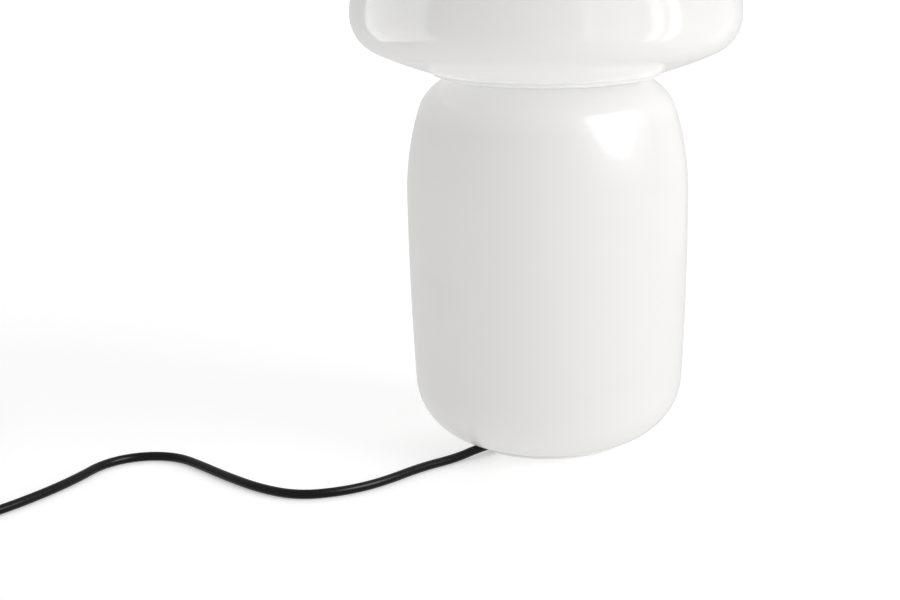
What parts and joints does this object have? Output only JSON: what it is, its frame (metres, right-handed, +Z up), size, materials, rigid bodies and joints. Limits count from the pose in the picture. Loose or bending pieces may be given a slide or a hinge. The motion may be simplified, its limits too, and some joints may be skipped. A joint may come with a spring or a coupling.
{
  "type": "table lamp",
  "caption": "Mushroom table lamp: an opal glass shade that lifts off an opal glass barrel body, with a lamp holder and bulb inside and a black lead with in-line switch and plug.",
  "frame": {"origin": "centre of the lamp's foot, on the floor", "axes": "+Z up along the lamp's axis, the picture is taken from -Y, +X to the right in it"},
  "size_m": [0.5944, 0.2908, 0.3502],
  "materials": {
    "opal_glass": "polished",
    "clear_silicone": "satin",
    "black_rubber": "matte",
    "zinc_steel": "satin",
    "white_steel": "satin",
    "brass": "satin",
    "bronze": "satin",
    "white_holder": "satin",
    "ceramic": "matte",
    "black_lead": "gloss",
    "black_housing": "gloss",
    "black_button": "satin",
    "wire_sheath": "satin",
    "nickel": "polished",
    "black_glass": "gloss",
    "bulb_white": "satin",
    "circuit_board": "satin",
    "board_aluminium": "satin",
    "phosphor": "satin"
  },
  "bodies": {
    "base": {"foot_pad": "black_rubber", "base_pan": "white_steel", "rim_gasket": "clear_silicone", "cord_grommet": "black_rubber", "glass_body": "opal_glass", "neck_gasket": "clear_silicone", "neck_basket": "white_steel", "stem_tube": "zinc_steel", "stem_nuts": "zinc_steel", "stem_washers": "zinc_steel", "holder_cap": "white_holder", "holder_bush": "brass", "bush_screw": "zinc_steel", "cord_clamp": "white_holder", "clamp_screws": "zinc_steel", "holder_insulator": "ceramic", "terminal_screws": "brass", "centre_contact": "bronze", "screw_shell": "brass", "holder_barrel": "white_holder", "inner_lead": "black_lead", "core_wires": "wire_sheath", "cord": "black_lead", "switch_lower": "black_housing", "switch_upper": "black_housing", "switch_screws": "zinc_steel", "switch_contacts": "brass", "switch_cord_ends": "black_lead", "switch_cores": "wire_sheath", "switch_reliefs": "black_rubber", "switch_lead": "black_lead", "cord_coil": "black_lead", "plug_lead": "black_lead", "plug_relief": "black_rubber", "plug_body": "black_housing", "plug_pins": "nickel", "plug_sleeves": "black_button"},
    "shade": {"glass_shade": "opal_glass", "shade_lip_ring": "clear_silicone"},
    "bulb": {"bulb_contact": "nickel", "bulb_insulator": "black_glass", "bulb_screw_cap": "nickel", "bulb_housing": "bulb_white", "bulb_driver_board": "circuit_board", "bulb_led_plate": "board_aluminium", "bulb_leds": "phosphor", "bulb_globe": "bulb_white"},
    "rocker": {"switch_rocker": "black_button"}
  },
  "joints": [
    {"name": "shade_lift", "type": "slide", "parent": "base", "child": "shade", "axis": [0, 0, 1], "range_m": [0, 0.12]},
    {"name": "bulb_unscrew", "type": "slide", "parent": "base", "child": "bulb", "axis": [0, 0, 1], "range_m": [0, 0.028]},
    {"name": "switch_rock", "type": "hinge", "parent": "base", "child": "rocker", "pos_m": [-0.40975, -0.08426, 0.0134], "axis": [-0.866, -0.5, 0], "range_deg": [0, 14]}
  ]
}
